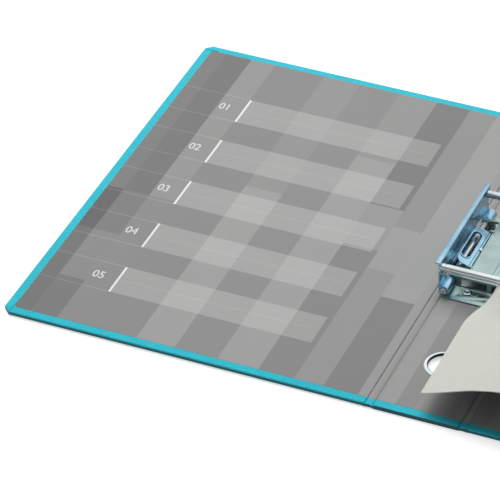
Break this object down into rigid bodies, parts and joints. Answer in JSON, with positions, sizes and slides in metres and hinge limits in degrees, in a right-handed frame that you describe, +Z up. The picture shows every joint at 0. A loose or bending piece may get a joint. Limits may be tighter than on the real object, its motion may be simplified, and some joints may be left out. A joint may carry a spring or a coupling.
{
  "type": "tube file",
  "caption": "Open tube file: cloth-covered boards hinged to a spine, with a steel tube binding mechanism, a finger ring and an index sheet on the tubes.",
  "frame": {"origin": "on the table, under the middle of the spine, at the middle of the open file's underside", "axes": "+X towards the back cover, +Y along the spine away from the finger ring, +Z up from the table"},
  "size_m": [0.5176, 0.307, 0.0356],
  "materials": {
    "turquoise_cloth": "coated bookcloth, satin",
    "greyboard": "raw greyboard",
    "printed_lining": "grey printed paper, smooth",
    "zinc_plate": "bright zinc-plated sheet",
    "blue_zinc": "blue-passivated zinc plating",
    "bright_steel": "polished plated steel",
    "spring_steel": "drawn wire",
    "index_card": "thin pale card, matte"
  },
  "bodies": {
    "spine": {"front_hinge_cloth": "turquoise_cloth", "back_hinge_cloth": "turquoise_cloth", "spine_cloth": "turquoise_cloth", "spine_board": "greyboard", "spine_lining": "printed_lining", "finger_ring": "bright_steel", "finger_ring_collar": "bright_steel", "base_plate": "zinc_plate", "base_rivet_1": "bright_steel", "base_rivet_2": "bright_steel", "base_rivet_3": "bright_steel", "base_rivet_4": "bright_steel", "near_tube": "bright_steel", "far_tube": "bright_steel", "index_sheet": "index_card", "left_hinge_pin": "spring_steel", "left_lever_pin": "spring_steel", "left_near_spring": "spring_steel", "left_far_spring": "spring_steel", "right_hinge_pin": "spring_steel", "right_lever_pin": "spring_steel", "right_near_spring": "spring_steel", "right_far_spring": "spring_steel"},
    "front_cover": {"front_cover_cloth": "turquoise_cloth", "front_board": "greyboard", "front_lining": "printed_lining"},
    "back_cover": {"back_cover_cloth": "turquoise_cloth", "back_board": "greyboard", "back_lining": "printed_lining"},
    "left_plate": {"left_side_plate": "zinc_plate"},
    "right_plate": {"right_side_plate": "zinc_plate"},
    "left_lever": {"left_release_lever": "blue_zinc"},
    "right_lever": {"right_release_lever": "blue_zinc"}
  },
  "joints": [
    {"name": "front_cover_hinge", "type": "hinge", "parent": "spine", "child": "front_cover", "pos_m": [-0.0311, 0, 0.0024], "axis": [0, 1, 0], "range_deg": [0, 90]},
    {"name": "back_cover_hinge", "type": "hinge", "parent": "spine", "child": "back_cover", "pos_m": [0.0311, 0, 0.0024], "axis": [0, 1, 0], "range_deg": [-90, 0], "deforming": ["index_sheet"]},
    {"name": "left_plate_swing", "type": "hinge", "parent": "spine", "child": "left_plate", "pos_m": [-0.0242, 0, 0.0072], "axis": [0, 1, 0], "range_deg": [-78, 0]},
    {"name": "right_plate_swing", "type": "hinge", "parent": "spine", "child": "right_plate", "pos_m": [0.0242, 0, 0.0072], "axis": [0, 1, 0], "range_deg": [0, 78]},
    {"name": "left_lever_lift", "type": "hinge", "parent": "spine", "child": "left_lever", "pos_m": [-0.0167, 0, 0.01], "axis": [0, -1, 0], "range_deg": [-25, 0], "stiffness_Nm_per_rad": 0.02},
    {"name": "right_lever_lift", "type": "hinge", "parent": "spine", "child": "right_lever", "pos_m": [0.0167, 0, 0.01], "axis": [0, -1, 0], "range_deg": [0, 25], "stiffness_Nm_per_rad": 0.02}
  ]
}
